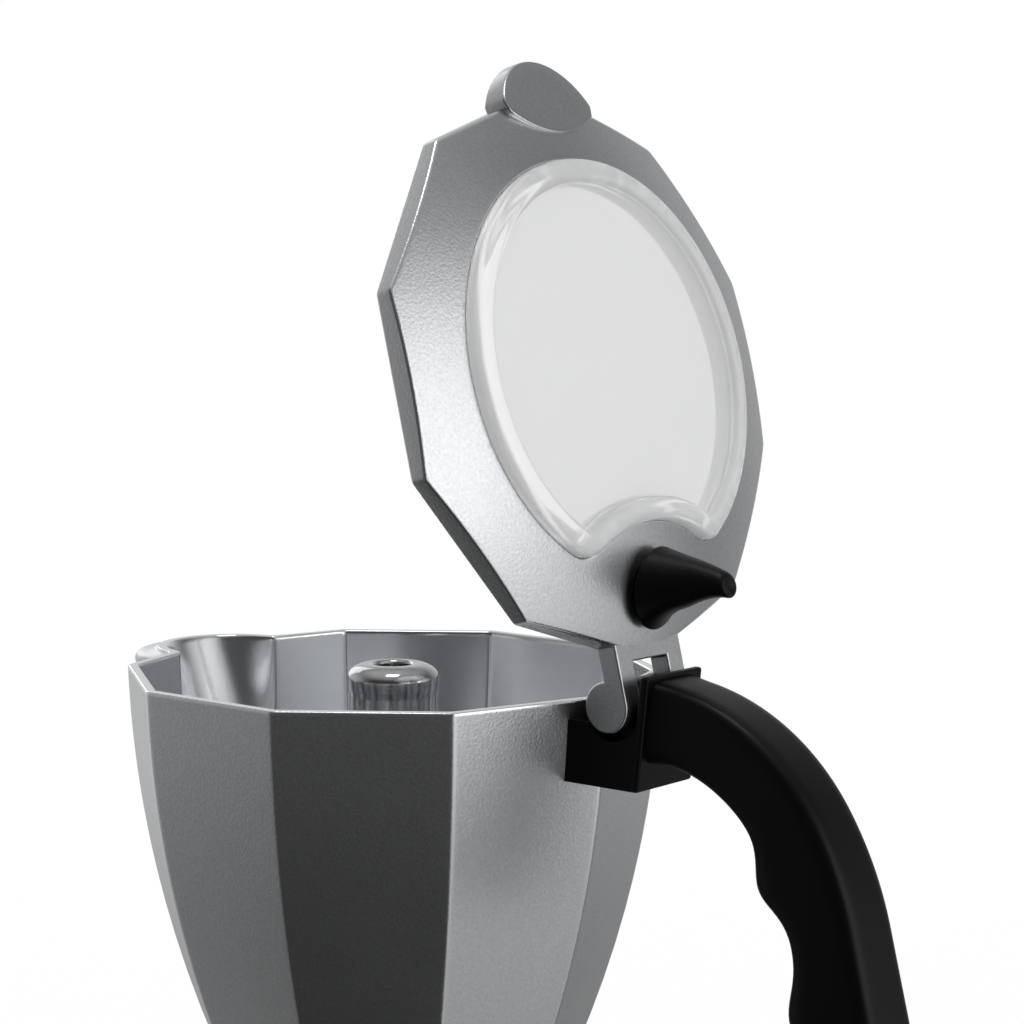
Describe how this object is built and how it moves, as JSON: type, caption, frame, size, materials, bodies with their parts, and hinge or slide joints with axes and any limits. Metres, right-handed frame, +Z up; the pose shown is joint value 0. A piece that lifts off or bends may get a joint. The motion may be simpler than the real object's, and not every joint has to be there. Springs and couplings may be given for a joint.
{
  "type": "electric moka pot",
  "caption": "Ten-sided aluminium moka pot with an open domed lid, clear window and black handle, on an electric base with a cordless stand.",
  "frame": {"origin": "on the pot's axis, on the underside of the power base's rubber pad", "axes": "+Z up along the pot's axis; +X towards the handle and the lid's hinge; the spout points along -X; +Y follows by the right hand"},
  "size_m": [0.1843, 0.1201, 0.3138],
  "materials": {
    "cast_aluminium": "fine bead-blasted",
    "polished_column": "polished",
    "sieve_aluminium": "satin",
    "black_handle": "satin",
    "clear_window": "clear gloss",
    "steel_screw": "plated",
    "silicone_seal": "matte",
    "valve_brass": "machined",
    "heater_steel": "annealed",
    "control_plastic": "moulded",
    "housing_plastic": "satin",
    "rocker_plastic": "gloss",
    "lamp_lens": "gloss",
    "lead_insulation": "matte",
    "base_rubber": "matte"
  },
  "bodies": {
    "base": {"base_shell": "housing_plastic", "base_plate": "housing_plastic", "base_screws": "steel_screw", "base_connector": "control_plastic", "cord_gland": "base_rubber", "anti_slip_pad": "base_rubber"},
    "pot": {"boiler": "cast_aluminium", "funnel": "sieve_aluminium", "valve_body": "valve_brass", "valve_cap": "valve_brass", "valve_spring": "steel_screw", "heater_plate": "sieve_aluminium", "heater_tube": "heater_steel", "thermostat": "control_plastic", "thermostat_screws": "steel_screw", "thermal_fuse": "control_plastic", "housing": "housing_plastic", "housing_screws": "steel_screw", "switch_body": "control_plastic", "indicator_lamp": "lamp_lens", "bottom_cover": "housing_plastic", "cover_screws": "steel_screw", "pot_connector": "control_plastic", "leads": "lead_insulation"},
    "switch_rocker": {"rocker": "rocker_plastic"},
    "safety_valve": {"valve_pin": "valve_brass"},
    "seal": {"gasket": "silicone_seal", "filter_plate": "sieve_aluminium"},
    "upper": {"collector": "cast_aluminium", "coffee_column": "polished_column", "handle": "black_handle", "handle_screw": "steel_screw", "hinge_pin": "steel_screw"},
    "lid": {"lid_frame": "cast_aluminium", "lid_window": "clear_window", "lid_knob": "black_handle", "knob_screw": "steel_screw"}
  },
  "joints": [
    {"name": "pot_lift", "type": "slide", "parent": "base", "child": "pot", "axis": [0, 0, 1], "range_m": [0, 0.06]},
    {"name": "upper_rise", "type": "slide", "parent": "pot", "child": "seal", "axis": [0, 0, 1], "range_m": [0, 0.00601]},
    {"name": "upper_turn", "type": "hinge", "parent": "seal", "child": "upper", "pos_m": [0, 0, 0.15], "axis": [0, 0, 1], "range_deg": [0, 540]},
    {"name": "lid_hinge", "type": "hinge", "parent": "upper", "child": "lid", "pos_m": [0.0592, 0, 0.19955], "axis": [0, 1, 0], "range_deg": [-76, 26]},
    {"name": "switch_rock", "type": "hinge", "parent": "pot", "child": "switch_rocker", "pos_m": [0.0511, 0, 0.03905], "axis": [0, 1, 0], "range_deg": [0, 16]},
    {"name": "valve_lift", "type": "slide", "parent": "pot", "child": "safety_valve", "axis": [-0.5878, -0.809, 0], "range_m": [0, 0.0015], "stiffness_N_per_m": 1500, "springref_m": -0.003, "deforming": ["valve_spring"]}
  ],
  "couplings": [
    {"joint": "upper_rise", "follows": "upper_turn", "m_per_rad": 0.00063662}
  ]
}
